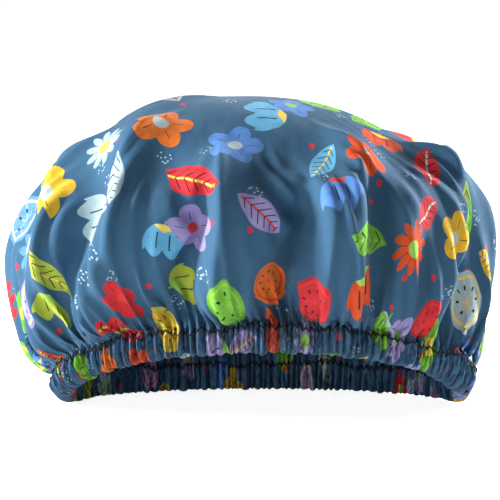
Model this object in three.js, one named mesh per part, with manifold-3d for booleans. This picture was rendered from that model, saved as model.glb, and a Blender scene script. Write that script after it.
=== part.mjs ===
// Fabric shower cap: one disc of printed cloth gathered into a dome, a waterproof lining inside it,
// an elastic with its ends tacked together in the turned hem of the rim, and the hem's zigzag seam.
// Millimetres, +Z up. The cap stands on its rim and its front faces -Y.
// Each piece is made whole and then parted along the opening line, a plane across the cap, so that
// the front of the cap can swing away from the back as the elastic rim is pulled open.
import * as THREE from "three";
import { mergeVertices } from "three/addons/utils/BufferGeometryUtils.js";
import Module from "manifold-3d";

const wasm = await Module();
wasm.setup();

// Dome
const domeWidth = 280;
const domeDepth = 172;
const crownHeight = 177;
const crownShift = new THREE.Vector2(-12, 4);
const crownSag = { right: 12, back: 7, left: 5, front: 7 };
const crownPlateau = 1.7;
const widestHeight = { right: 75, back: 82, left: 80, front: 98 };
const shoulderFullness = { right: 2.9, back: 2.2, left: 2, front: 2.2 };

// Rim, an oval that lies on the table at the back and arches up from the sides to the front
const rimWidth = 230;
const rimDepth = 100;
const rimShift = new THREE.Vector2(8, -15);
const rimLift = 40;
const liftStart = 0.15;
const liftEase = 0.15;
const bandHeight = 18;
const rimFlare = 4;

// Layers
const clothThickness = 0.8;
const liningThickness = 0.4;
const elasticThickness = 0.8;
const elasticWidth = 12;
const threadThickness = 0.7;
const layerGap = 0.3;

// Lapped ends of the elastic at the middle of the back, and the tack that joins them
const lapLength = 18;
const tackThickness = 0.5;
const tackWidth = 1;
const tackStrokes = 4;

// Gathers of the rim
const gatherCount = 42;
const gatherDepth = 2.2;
const gatherRise = 0.16;

// Main folds of the dome: ridges where the height is above 0, valleys where it is below. A fold's line
// is given by pairs of how far down the dome it is, 0 at the crown and 1 at the seam, and the azimuth
// there in degrees. Between the folds the cloth sinks in a little, and nowhere deeper than foldDepth.
const foldDepth = 6;
const foldSink = 2.5;
const foldFade = 0.15;
const folds = [
  { height: 8, width: 12, line: [[0.45, -165], [0.61, -147], [0.76, -146], [0.86, -153], [0.93, -158]] },
  { height: 8, width: 12, line: [[0.36, -131], [0.57, -122], [0.73, -125], [0.84, -132], [0.93, -140]] },
  { height: -5, width: 12, line: [[0.6, -134], [0.75, -135], [0.85, -142], [0.94, -150]] },
  { height: -8, width: 11, line: [[0.62, -102], [0.72, -104], [0.83, -106], [0.94, -110]] },
  { height: 7, width: 13, line: [[0.46, -97], [0.66, -97], [0.78, -98], [0.94, -99]] },
  { height: -8, width: 11, line: [[0.64, -77], [0.75, -80], [0.84, -83], [0.94, -84]] },
  { height: 5, width: 11, line: [[0.6, -70], [0.77, -72], [0.94, -74]] },
  { height: 8, width: 11, line: [[0.44, -51], [0.57, -62], [0.66, -65], [0.82, -64.5], [0.94, -65]] },
  { height: -6, width: 11, line: [[0.62, -57], [0.72, -58], [0.94, -59]] },
  { height: 5, width: 12, line: [[0.66, -49], [0.8, -52], [0.94, -54]] },
  { height: 8, width: 11, line: [[0.52, -13], [0.6, -19], [0.76, -32], [0.86, -40], [0.95, -45]] },
  { height: -6, width: 11, line: [[0.62, -19], [0.71, -24], [0.8, -30], [0.94, -36]] },
  { height: 4, width: 11, line: [[0.66, -4], [0.76, -10], [0.88, -20], [0.95, -24]] },
  { height: 5, width: 12, line: [[0.45, 26], [0.66, 22], [0.92, 18]] },
  { height: -5, width: 12, line: [[0.58, 32], [0.92, 30]] },
  { height: 6, width: 11, line: [[0.5, 44], [0.7, 43], [0.92, 41]] },
  { height: 7, width: 12, line: [[0.42, 60], [0.7, 57], [0.92, 58]] },
  { height: 6, width: 11, line: [[0.48, 72], [0.75, 74], [0.92, 72]] },
  { height: -7, width: 11, line: [[0.55, 82], [0.92, 84]] },
  { height: 7, width: 12, line: [[0.44, 95], [0.7, 93], [0.92, 96]] },
  { height: 6, width: 12, line: [[0.5, 112], [0.75, 109], [0.92, 111]] },
  { height: -5, width: 11, line: [[0.6, 119], [0.92, 120]] },
  { height: 7, width: 12, line: [[0.46, 131], [0.75, 130], [0.92, 134]] },
  { height: 5, width: 11, line: [[0.55, 148], [0.75, 151], [0.92, 150]] },
  { height: 4, width: 11, line: [[0.5, 168], [0.75, 172], [0.92, 174]] },
];

// Seam and lining edge
const seamDrop = 2.8;
const seamSwing = 1.6;
const liningTuck = 2;
const liningEase = 1.2;

// Opening line, where the front of the cap parts from the back
const openingLine = -26;
const openingGap = 0.3;

// Fineness of the meshes
const shellSectors = 2 * gatherCount;
const liningSectors = gatherCount;
const domeRings = 9;
const lipFacets = 3;

// Looks
const printedCloth = new THREE.MeshStandardMaterial({ color: 0x3f688f, roughness: 0.6, metalness: 0 });
const liningFilm = new THREE.MeshStandardMaterial({ color: 0xdfe5ea, roughness: 0.35, metalness: 0 });
const elasticWeave = new THREE.MeshStandardMaterial({ color: 0xf2efe8, roughness: 0.85, metalness: 0 });
const blackThread = new THREE.MeshStandardMaterial({ color: 0x14161c, roughness: 0.7, metalness: 0 });

// Sizes that follow from those above
const casingRoom = 2 * elasticThickness + tackThickness + 3 * layerGap;
const lipRadius = clothThickness + casingRoom / 2;
const elasticFace = -(clothThickness + layerGap);
const wallHeight = bandHeight - lipRadius;
const lipLength = Math.PI * lipRadius;
const hemHeight = wallHeight;
const stripRadius = rimWidth / 2;
const widestShare = 0.6;
const widestWay = 0.76;

// A value given at the four sides, eased from one side to the next round the cap.
function bySide(values, azimuth) {
  const across = Math.cos(azimuth);
  const along = Math.sin(azimuth);
  const acrossValue = across > 0 ? values.right : values.left;
  const alongValue = along > 0 ? values.back : values.front;
  return across * across * acrossValue + along * along * alongValue;
}

function ovalPoint(width, depth, shift, azimuth) {
  return new THREE.Vector2(
    shift.x + (width / 2) * Math.cos(azimuth),
    shift.y + (depth / 2) * Math.sin(azimuth),
  );
}

// How far the lip is off the table: nothing at the back, rimLift at the front.
function liftAt(azimuth) {
  const frontness = Math.max(0, (liftStart - Math.sin(azimuth)) / (1 + liftStart));
  return (rimLift * (1 + liftEase) * frontness * frontness) / (frontness + liftEase);
}

// The direction that points squarely out of the rim's oval.
function outOfRim(azimuth) {
  return new THREE.Vector3(rimDepth * Math.cos(azimuth), rimWidth * Math.sin(azimuth), 0).normalize();
}

// How far the cloth of a gather stands out from the elastic, from 0 to gatherDepth.
function gatherAt(azimuth) {
  return (gatherDepth * (1 + Math.cos(gatherCount * azimuth))) / 2;
}

// The deepest that the cloth sinks in: little at the crown, the most low on the dome, nothing at the seam.
function foldReach(run) {
  return foldDepth * Math.sin(Math.PI * run * run) * run;
}

// How far down the dome a run is, as a share of the cloth's length.
function wayDown(run) {
  const { mapLinear } = THREE.MathUtils;
  if (run <= widestShare) return mapLinear(run, 0, widestShare, 0, widestWay);
  return mapLinear(run, widestShare, 1, widestWay, 1);
}

// The azimuth of a fold's line at some way down the dome.
function azimuthOn(line, way) {
  const next = line.findIndex(([at]) => at >= way);
  if (next === 0) return line[0][1];
  if (next < 0) return line.at(-1)[1];
  const [[from, start], [to, end]] = line.slice(next - 1, next + 1);
  return THREE.MathUtils.mapLinear(way, from, to, start, end);
}

function foldHeight(fold, azimuth, way) {
  const { degToRad, euclideanModulo, smoothstep } = THREE.MathUtils;
  const first = fold.line[0][0];
  const last = fold.line.at(-1)[0];
  const rise = smoothstep(way, first - foldFade, first) * (1 - smoothstep(way, last, last + foldFade));
  const turn = azimuth - degToRad(azimuthOn(fold.line, way));
  const apart = euclideanModulo(turn + Math.PI, 2 * Math.PI) - Math.PI;
  const radius = Math.hypot((domeWidth / 2) * Math.sin(azimuth), (domeDepth / 2) * Math.cos(azimuth));
  return fold.height * rise * Math.exp(-(((apart * radius) / fold.width) ** 2));
}

// How far the folded cloth lies out of the smooth dome.
function foldAt(azimuth, run) {
  const way = wayDown(run);
  const nearSeam = 1 - THREE.MathUtils.smoothstep(way, 1 - foldFade, 1);
  const sink = foldSink * THREE.MathUtils.smoothstep(way, foldFade, 2 * foldFade);
  const sum = folds.reduce((total, fold) => total + foldHeight(fold, azimuth, way), -sink);
  return Math.max(sum * nearSeam, -foldReach(run));
}

// The smooth dome with no folds. run goes from 0 at the crown to 1 at the seam.
function domePoint(azimuth, run) {
  const seam = rimPoint(azimuth, 0, bandHeight);
  const widest = ovalPoint(domeWidth, domeDepth, new THREE.Vector2(), azimuth);
  const widestZ = bySide(widestHeight, azimuth);
  const quarter = Math.PI / 2;
  if (run <= widestShare) {
    const angle = (quarter * run) / widestShare;
    const power = 2 / bySide(shoulderFullness, azimuth);
    const spread = Math.sin(angle) ** power;
    const plan = crownShift.clone().lerp(widest, spread);
    const arch = (crownHeight - widestZ) * Math.max(0, Math.cos(angle)) ** power;
    const sag = bySide(crownSag, azimuth) * Math.sin(Math.PI * spread ** crownPlateau) ** 2;
    return new THREE.Vector3(plan.x, plan.y, widestZ + arch - sag);
  }
  const angle = (quarter * (run - widestShare)) / (1 - widestShare);
  const plan = new THREE.Vector2(seam.x, seam.y).lerp(widest, Math.cos(angle));
  return new THREE.Vector3(plan.x, plan.y, widestZ - (widestZ - seam.z) * Math.sin(angle));
}

// The way out of the smooth dome, which turns level at the seam to meet the rim's own direction.
function outOfDome(azimuth, run) {
  const step = 0.01;
  if (run < step) return new THREE.Vector3(0, 0, 1);
  const inside = Math.min(run, 1 - step);
  const down = domePoint(azimuth, inside + step).sub(domePoint(azimuth, inside - step));
  const round = domePoint(azimuth + step, inside).sub(domePoint(azimuth - step, inside));
  const square = down.cross(round).normalize();
  const nearSeam = THREE.MathUtils.smoothstep(run, 1 - gatherRise, 1);
  return square.lerp(outOfRim(azimuth), nearSeam).normalize();
}

// A point of the rim, out and up from the foot of its outer face. The rim spreads towards the seam.
function rimPoint(azimuth, out, up) {
  const foot = ovalPoint(rimWidth, rimDepth, rimShift, azimuth);
  const level = outOfRim(azimuth).multiplyScalar(out + (rimFlare * up) / bandHeight);
  return new THREE.Vector3(foot.x, foot.y, liftAt(azimuth) + up).add(level);
}

// The printed cloth over the dome, depth below its printed face.
function shellOnDome(azimuth, run, depth) {
  const rising = Math.exp((run - 1) / gatherRise);
  const out = foldAt(azimuth, run) + gatherAt(azimuth) * rising;
  return domePoint(azimuth, run).addScaledVector(outOfDome(azimuth, run), out - depth);
}

// The printed cloth below the seam: down the rim, round the lip and up inside as the turned hem.
function shellOnRim(azimuth, drop, depth) {
  const gather = gatherAt(azimuth);
  if (drop <= wallHeight) return rimPoint(azimuth, gather - depth, bandHeight - drop);
  const turn = Math.min(Math.PI, (drop - wallHeight) / lipRadius);
  const climb = Math.max(0, drop - wallHeight - lipLength);
  const radius = lipRadius - depth;
  const out = (radius + gather) * Math.cos(turn) - lipRadius;
  return rimPoint(azimuth, out, lipRadius - radius * Math.sin(turn) + climb);
}

function liningPoint(azimuth, run, depth) {
  const clear = clothThickness + layerGap;
  if (run > 1) return rimPoint(azimuth, -clear - depth, bandHeight - (run - 1) * liningTuck);
  const hang = foldReach(run) + liningEase * (1 - run);
  return domePoint(azimuth, run).addScaledVector(outOfDome(azimuth, run), -clear - hang - depth);
}

// Puts each vertex of a flat pattern where the given function of its three coordinates says.
function place(geometry, toPoint) {
  const position = geometry.getAttribute("position");
  for (let i = 0; i < position.count; i++) {
    const point = toPoint(position.getX(i), position.getY(i), position.getZ(i));
    position.setXYZ(i, point.x, point.y, point.z);
  }
  return geometry;
}

// A lathed flat pattern put in place by a function of each vertex's azimuth, its distance from the
// pattern's middle and its height above the pattern.
function drape(profile, sectors, toPoint) {
  const pattern = new THREE.LatheGeometry(profile, sectors);
  return place(pattern, (x, y, z) => toPoint(Math.atan2(x, z), Math.hypot(x, z), y));
}

// The outline of a disc of cloth in section, from the middle of its back to the middle of its face.
function discProfile(reaches, thickness) {
  const face = reaches.map((reach) => new THREE.Vector2(reach, 0));
  const back = reaches.map((reach) => new THREE.Vector2(reach, -thickness));
  return [...back, ...face.reverse()];
}

// A strip's closed outline in section, put at stripRadius from the pattern's middle.
function stripProfile(outFrom, outTo, upFrom, upTo) {
  return [
    new THREE.Vector2(stripRadius + outFrom, upFrom),
    new THREE.Vector2(stripRadius + outTo, upFrom),
    new THREE.Vector2(stripRadius + outTo, upTo),
    new THREE.Vector2(stripRadius + outFrom, upTo),
    new THREE.Vector2(stripRadius + outFrom, upFrom),
  ];
}

function evenSteps(count, from, to) {
  return Array.from({ length: count + 1 }, (_, i) => from + ((to - from) * i) / count);
}

function printedShell() {
  const dome = evenSteps(domeRings, 0, 1);
  const lip = evenSteps(lipFacets, wallHeight, wallHeight + lipLength);
  const drops = [...lip, wallHeight + lipLength + hemHeight];
  const profile = discProfile([...dome, ...drops.map((drop) => 1 + drop)], clothThickness);
  return drape(profile, shellSectors, (azimuth, reach, height) =>
    reach > 1 ? shellOnRim(azimuth, reach - 1, -height) : shellOnDome(azimuth, reach, -height),
  );
}

function waterproofLining() {
  const profile = discProfile([...evenSteps(domeRings, 0, 1), 2], liningThickness);
  return drape(profile, liningSectors, (azimuth, reach, height) => liningPoint(azimuth, reach, -height));
}

// The two ends of the elastic lie one on the other over the lap, so it is double there.
function pliesAt(azimuth) {
  return Math.abs(azimuth - Math.PI / 2) * (rimWidth / 2) <= lapLength / 2 ? 2 : 1;
}

function rimElastic() {
  const profile = stripProfile(-elasticThickness, 0, 0, elasticWidth);
  return drape(profile, shellSectors, (azimuth, reach, height) =>
    rimPoint(azimuth, elasticFace + pliesAt(azimuth) * (reach - stripRadius), lipRadius + height),
  );
}

// A zigzag of thread along the lap, on the inner ply.
function elasticTack() {
  const middle = elasticWidth / 2;
  const swing = elasticWidth / 4;
  const steps = evenSteps(tackStrokes, -lapLength / 4, lapLength / 4);
  const line = steps.map((along, i) => new THREE.Vector2(along, middle + (i % 2 ? swing : -swing)));
  const lower = line.map((corner) => new THREE.Vector2(corner.x, corner.y - tackWidth));
  const upper = line.map((corner) => new THREE.Vector2(corner.x, corner.y + tackWidth));
  const zigzag = new THREE.Shape([...lower, ...upper.reverse()]);
  const geometry = new THREE.ExtrudeGeometry(zigzag, { depth: tackThickness, bevelEnabled: false });
  const seat = elasticFace - 2 * elasticThickness - layerGap;
  return place(geometry, (along, up, depth) =>
    rimPoint(Math.PI / 2 + along / (rimWidth / 2), seat - tackThickness + depth, lipRadius + up),
  );
}

// The seam's thread zigzags once for each gather, over its crest and down into the next valley.
function zigzagThread() {
  const half = threadThickness / 2;
  const profile = stripProfile(-half, half, -half, half);
  const seat = layerGap + half;
  return drape(profile, shellSectors, (azimuth, reach, height) => {
    const swing = seamSwing * Math.cos(gatherCount * azimuth);
    const out = gatherAt(azimuth) + seat + reach - stripRadius;
    return rimPoint(azimuth, out, bandHeight - seamDrop + swing + height);
  });
}

function solidOf(geometry) {
  const bare = geometry.clone();
  bare.deleteAttribute("normal");
  bare.deleteAttribute("uv");
  const merged = mergeVertices(bare, 1e-4);
  return new wasm.Manifold(
    new wasm.Mesh({
      numProp: 3,
      vertProperties: merged.getAttribute("position").array,
      triVerts: new Uint32Array(merged.index.array),
    }),
  );
}

function geometryOf(solid) {
  const mesh = solid.getMesh();
  const geometry = new THREE.BufferGeometry();
  geometry.setAttribute("position", new THREE.BufferAttribute(mesh.vertProperties, mesh.numProp));
  geometry.setIndex(new THREE.BufferAttribute(mesh.triVerts, 1));
  geometry.computeVertexNormals();
  return geometry;
}

// A block that holds everything on one side of the opening line: side is -1 in front and 1 behind.
function blockBeside(side) {
  const size = 2 * Math.max(domeWidth, domeDepth, crownHeight);
  const block = new THREE.BoxGeometry(size, size, size);
  return solidOf(block.translate(0, openingLine + side * (size / 2 + openingGap / 2), 0));
}

const cap = new THREE.Group();

function add(name, solid, material) {
  const mesh = new THREE.Mesh(geometryOf(solid), material);
  mesh.name = name;
  cap.add(mesh);
}

function addParted(name, geometry, material) {
  const whole = solidOf(geometry);
  add(`${name}_front`, whole.intersect(blockBeside(-1)), material);
  add(`${name}_back`, whole.intersect(blockBeside(1)), material);
}

addParted("printed_shell", printedShell(), printedCloth);
addParted("waterproof_lining", waterproofLining(), liningFilm);
addParted("rim_elastic", rimElastic(), elasticWeave);
addParted("zigzag_thread", zigzagThread(), blackThread);
add("elastic_tack", solidOf(elasticTack()), blackThread);

// The origin is on the table, under the middle of the cap's box.
const box = new THREE.Box3().setFromObject(cap, true);
const middle = box.getCenter(new THREE.Vector3());
cap.position.set(-middle.x, -middle.y, -box.min.z);

export default cap;
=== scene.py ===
"""Looks of the gathered fabric shower cap, built round its packed solids.

The printed cloth is one flat cut that is draped over the cap's form, gathered at the seam and let
settle, so its folds come from the length of cloth that the rim takes up. The lining, the elastic and
the seam thread follow the same form.
"""

import logging
import math
from collections.abc import Callable
from dataclasses import dataclass, field, replace
from enum import Enum

import bmesh
import bpy
import numpy as np
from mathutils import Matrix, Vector


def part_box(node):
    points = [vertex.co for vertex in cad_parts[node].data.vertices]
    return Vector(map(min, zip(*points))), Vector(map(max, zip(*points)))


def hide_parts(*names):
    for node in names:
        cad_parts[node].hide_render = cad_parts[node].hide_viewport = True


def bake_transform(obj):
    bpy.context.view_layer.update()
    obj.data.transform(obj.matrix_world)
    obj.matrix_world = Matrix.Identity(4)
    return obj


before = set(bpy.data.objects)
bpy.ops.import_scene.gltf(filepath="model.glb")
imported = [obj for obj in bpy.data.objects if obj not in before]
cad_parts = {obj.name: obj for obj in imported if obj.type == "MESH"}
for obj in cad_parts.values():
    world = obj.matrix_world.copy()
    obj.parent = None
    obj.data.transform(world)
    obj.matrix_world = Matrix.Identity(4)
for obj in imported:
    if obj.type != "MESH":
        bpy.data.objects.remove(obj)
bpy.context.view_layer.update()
LOG = logging.getLogger("shower_cap")
FLAT_MAP = "OFBake"
GATHERS = "gathers"
MM = 0.001
FULL_TURN = 2 * math.pi
WHITE = (1.0, 1.0, 1.0, 1.0)
Array = np.ndarray
Colour = tuple[float, ...]
Material = bpy.types.Material
Mesh = bpy.types.Mesh
Piece = bpy.types.Object
Socket = bpy.types.NodeSocket


def linear(*screen: int) -> Colour:
    """Turn a screen colour, each part 0 to 255, into the linear colour that a shader takes."""
    shares = [value / 255 for value in screen]
    return *(s / 12.92 if s <= 0.04045 else ((s + 0.055) / 1.055) ** 2.4 for s in shares), 1.0


def shaded(colour: Colour, share: float) -> Colour:
    """Darken a colour to a share of itself."""
    return *(share * part for part in colour[:3]), 1.0


def eased(share: Array) -> Array:
    """Ease a share gently out of 0 and into 1."""
    share = np.clip(share, 0, 1)
    return share * share * (3 - 2 * share)


def turns(columns: int) -> Array:
    """Give how far round the cap each column is, from 0 to 1."""
    return np.arange(columns) / columns


def hoops(points: Array) -> Array:
    """Give the length from each point of a grid to the next column."""
    return np.linalg.norm(np.roll(points, -1, 0) - points, axis=2)


def walked(points: Array) -> Array:
    """Give the length walked up to each point of a line, or of every column of a grid."""
    steps = np.linalg.norm(np.diff(points, axis=-2), axis=-1)
    return np.concatenate([0 * steps[..., :1], np.cumsum(steps, axis=-1)], -1)


def laid_flat(reach: Array) -> Array:
    """Lay a grid out flat, each point at its length from the middle and its column's angle."""
    angle = (turns(len(reach)) * FULL_TURN)[:, None]
    return np.stack([reach * np.cos(angle), reach * np.sin(angle)], -1)


def map_size(flat: Array) -> float:
    """Give the side of the square that a flat cut's map covers."""
    return float(2 * np.abs(flat).max())


def normals_of(points: Array) -> Array:
    """Give the outward directions of a grid of points by column and row.

    Args:
        points: Points by column, which close on themselves, and row.

    Returns:
        Unit directions, straight up at the crown.
    """
    down = np.gradient(points, axis=1)
    along = np.roll(points, -1, 0) - np.roll(points, 1, 0)
    square = np.cross(down, along)
    square /= np.maximum(np.linalg.norm(square, axis=2, keepdims=True), 1e-12)
    square[:, 0] = (0, 0, 1)
    return square


def halfway(points: Array, axis: int) -> Array:
    """Put more points halfway between those of a grid, on a smooth line through them.

    Args:
        points: Points by column, which close on themselves, and row, which don't.
        axis: 0 for more columns, 1 for more rows.

    Returns:
        All the points.
    """
    near = np.roll(points, -1, axis)
    middle = (9 * (points + near) - np.roll(points, 1, axis) - np.roll(points, -2, axis)) / 16
    if axis:
        middle[:, [0, -2]] = (points[:, [0, -2]] + near[:, [0, -2]]) / 2
    shape = list(points.shape)
    shape[axis] *= 2
    made = np.stack([points, middle], axis + 1).reshape(shape)
    return made[:, :-1] if axis else made


def put(name: str, data: bpy.types.ID) -> Piece:
    """Put a mesh, a curve, a lamp or a camera into the scene."""
    piece = bpy.data.objects.new(name, data)
    bpy.context.collection.objects.link(piece)
    return piece


def mesh_from(name: str, work: bmesh.types.BMesh) -> Mesh:
    """Keep what was modelled as a mesh.

    Args:
        name: The mesh's name.
        work: What was modelled, freed here.

    Returns:
        The mesh.
    """
    mesh = bpy.data.meshes.new(name)
    work.to_mesh(mesh)
    work.free()
    return mesh


def smooth_shading(mesh: Mesh) -> None:
    """Shade all of a mesh's faces smoothly."""
    mesh.polygons.foreach_set("use_smooth", [True] * len(mesh.polygons))


def lay_map(mesh: Mesh, spread: Array) -> None:
    """Give a mesh the map of its flat cut.

    Args:
        mesh: The mesh.
        spread: Each vertex's place on the map.
    """
    corner = np.zeros(len(mesh.loops), dtype=np.int64)
    mesh.loops.foreach_get("vertex_index", corner)
    uv = mesh.uv_layers.new(name=FLAT_MAP)
    uv.data.foreach_set("uv", spread[corner].astype(np.float32).ravel())


def join_part(piece: Piece, solids: str = "", thickness: float = 0.0) -> None:
    """Give a piece its wall and its place in the part, where it bends as the rim opens.

    Args:
        piece: The piece.
        slot: Its material's slot.
        solids: Name of the solids that it stands for, less their _front and _back.
        thickness: Thickness of its wall, or 0 for none.
    """
    if thickness:
        wall = piece.modifiers.new("thickness", "SOLIDIFY")
        wall.thickness = thickness
        wall.offset = -1.0
    if solids:
        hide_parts(solids + "_front", solids + "_back")
    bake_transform(piece)


@dataclass(frozen=True)
class SideValues:
    """A value given at the cap's four sides and eased from one side to the next."""

    right: float
    back: float
    left: float
    front: float

    def at(self, azimuth: Array) -> Array:
        """Ease the value round the cap.

        Args:
            azimuth: Directions round the cap in radians, 0 at the right.

        Returns:
            The value in each direction.
        """
        across, along = np.cos(azimuth), np.sin(azimuth)
        sideways = np.where(across > 0, self.right, self.left)
        lengthways = np.where(along > 0, self.back, self.front)
        return across**2 * sideways + along**2 * lengthways


@dataclass(frozen=True)
class CapForm:
    """The smooth form that the cloth is draped over, in metres."""

    dome_width: float = 0.275
    dome_depth: float = 0.168
    crown_height: float = 0.177
    crown_x: float = -0.012
    crown_y: float = 0.004
    crown_sag: SideValues = SideValues(0.0085, 0.007, -0.0075, 0.007)
    crown_plateau: SideValues = SideValues(1.7, 1.7, 0.75, 1.7)
    widest_height: SideValues = SideValues(0.068, 0.082, 0.080, 0.098)
    shoulder: SideValues = SideValues(2.85, 2.2, 1.65, 2.2)
    skirt: float = 1.6
    widest_share: float = 0.6
    rim_width: float = 0.230
    rim_depth: float = 0.100
    rim_x: float = 0.008
    rim_y: float = -0.015
    rim_lift: float = 0.040
    lift_start: float = 0.15
    lift_ease: float = 0.15
    rim_flare: float = 0.004
    band_height: float = 0.018
    lip_radius: float = 0.0023
    lip_steps: int = 4000
    run_steps: int = 240

    def wall(self) -> float:
        """Give the height of the band above the lip's bend."""
        return self.band_height - self.lip_radius

    def shift(self) -> Array:
        """Give the move from the form's own origin to the packed part's, read off the elastic."""
        front_low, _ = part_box("rim_elastic_front")
        back_low, back_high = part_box("rim_elastic_back")
        middle_x = (back_low.x + back_high.x) / 2
        middle_y = (front_low.y + back_high.y) / 2
        return np.array([middle_x - self.rim_x, middle_y - self.rim_y, 0.0])

    def lift(self, azimuth: Array) -> Array:
        """Give how far the lip is off the table: nothing behind, the most in front."""
        frontness = np.maximum(0.0, (self.lift_start - np.sin(azimuth)) / (1 + self.lift_start))
        return self.rim_lift * (1 + self.lift_ease) * frontness**2 / (frontness + self.lift_ease)

    def outward(self, azimuth: Array) -> Array:
        """Give the level direction squarely out of the rim's oval."""
        across, along = self.rim_depth * np.cos(azimuth), self.rim_width * np.sin(azimuth)
        level = np.stack([across, along, 0 * azimuth], -1)
        return level / np.linalg.norm(level, axis=-1, keepdims=True)

    def rim_points(self, azimuth: Array, out: Array | float, up: Array | float) -> Array:
        """Place points of the rim.

        Args:
            azimuth: Directions round the rim.
            out: Distance out of the rim's outer face.
            up: Height above the lip.

        Returns:
            Points in the part's frame.
        """
        x = self.rim_x + self.rim_width / 2 * np.cos(azimuth)
        y = self.rim_y + self.rim_depth / 2 * np.sin(azimuth)
        foot = np.stack([x, y, self.lift(azimuth) + up], -1)
        reach = np.asarray(out + self.rim_flare * up / self.band_height)
        return foot + self.outward(azimuth) * reach[..., None] + self.shift()

    def dome_points(self, azimuth: Array, run: Array) -> Array:
        """Place points of the smooth dome.

        Args:
            azimuth: Directions round the cap.
            run: Share of the way from the crown, 0, to the seam, 1.

        Returns:
            Points in the part's frame.
        """
        seam = self.rim_points(azimuth, 0.0, self.band_height) - self.shift()
        widest = np.stack(
            [self.dome_width / 2 * np.cos(azimuth), self.dome_depth / 2 * np.sin(azimuth)], -1
        )
        widest_z = self.widest_height.at(azimuth)
        crown = np.array([self.crown_x, self.crown_y])
        turn = np.minimum(run / self.widest_share, 1) * math.pi / 2
        power = 2 / self.shoulder.at(azimuth)
        spread = np.sin(turn) ** power
        arch = (self.crown_height - widest_z) * np.maximum(0, np.cos(turn)) ** power
        plateau = np.sin(math.pi * spread ** self.crown_plateau.at(azimuth)) ** 2
        height = widest_z + arch - plateau * self.crown_sag.at(azimuth)
        plan = crown + (widest - crown) * spread[..., None]
        upper = np.concatenate([plan, height[..., None]], -1)
        turn = np.clip((run - self.widest_share) / (1 - self.widest_share), 0, 1) * math.pi / 2
        inward = np.maximum(0, np.cos(turn)) ** (2 / self.skirt)
        plan = seam[..., :2] + (widest - seam[..., :2]) * inward[..., None]
        height = widest_z - (widest_z - seam[..., 2]) * np.sin(turn) ** (2 / self.skirt)
        lower = np.concatenate([plan, height[..., None]], -1)
        return np.where((run <= self.widest_share)[..., None], upper, lower) + self.shift()

    def lip(self) -> tuple[Array, Array]:
        """Give fine steps round the rim as azimuths, and the length of lip up to each."""
        fine = np.linspace(0, FULL_TURN, self.lip_steps + 1)
        return fine, walked(self.rim_points(fine, 0.0, 0.0))

    def azimuths(self, columns: int) -> Array:
        """Give the azimuths of columns that are spread evenly along the rim."""
        fine, length = self.lip()
        return np.interp(turns(columns) * length[-1], length, fine)

    def meridians(self, columns: int, rows: int) -> tuple[Array, Array]:
        """Walk from the crown to the seam in even steps along each column.

        Args:
            columns: How many columns there are.
            rows: How many steps each column has.

        Returns:
            The points by column and row, and each column's length.
        """
        runs = np.linspace(0, 1, self.run_steps + 1)
        curve = self.dome_points(*np.meshgrid(self.azimuths(columns), runs, indexing="ij"))
        length = walked(curve)
        shares = np.linspace(0, 1, rows + 1)
        made = np.zeros((columns, rows + 1, 3))
        for column in range(columns):
            at = shares * length[column, -1]
            for axis in range(3):
                made[column, :, axis] = np.interp(at, length[column], curve[column, :, axis])
        return made, length[:, -1]


@dataclass(frozen=True)
class Fold:
    """A fold of the dome: a ridge where its height is above 0, a valley where it is below.

    Its line is given by pairs of the share of the way from the crown to the seam and the azimuth in
    degrees there.
    """

    height: float
    width: float
    line: tuple[tuple[float, float], ...]
    ridge_roundness: float = 1.2
    valley_roundness: float = 2.0
    fade: float = 0.16
    crease_share: float = 0.08
    crease_width: float = 4.2 * MM

    def crease(self) -> "Fold":
        """Give the sharp line that the cloth breaks into along the fold."""
        height = self.height * self.crease_share
        sharp = replace(self, height=height, width=self.crease_width)
        return replace(sharp, ridge_roundness=1.0, valley_roundness=1.0)

    def lift(self, azimuths: Array, shares: Array, hoop: Array) -> Array:
        """Give the fold's height over the dome.

        Args:
            azimuths: Azimuth of each column in radians.
            shares: Share of the way to the seam of each row.
            hoop: Length from each point to the next column, by column and row.

        Returns:
            Heights by column and row.
        """
        reach, turn = np.array(self.line).T
        centre = np.radians(np.interp(shares, reach, turn)) % FULL_TURN
        columns = len(azimuths)
        middle = np.interp(centre, np.append(azimuths, FULL_TURN), np.arange(columns + 1))
        off = np.arange(columns)[:, None] - middle[None]
        off = (off + columns / 2) % columns - columns / 2
        local = hoop[np.rint(middle).astype(int) % columns, np.arange(len(shares))]
        apart = np.abs(off) * local[None]
        rise = np.clip((shares - reach[0]) / self.fade + 1, 0, 1)
        rise *= np.clip((reach[-1] - shares) / self.fade + 1, 0, 1)
        roundness = self.ridge_roundness if self.height > 0 else self.valley_roundness
        return self.height * np.exp(-((apart / self.width) ** roundness)) * eased(rise)[None]


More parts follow.
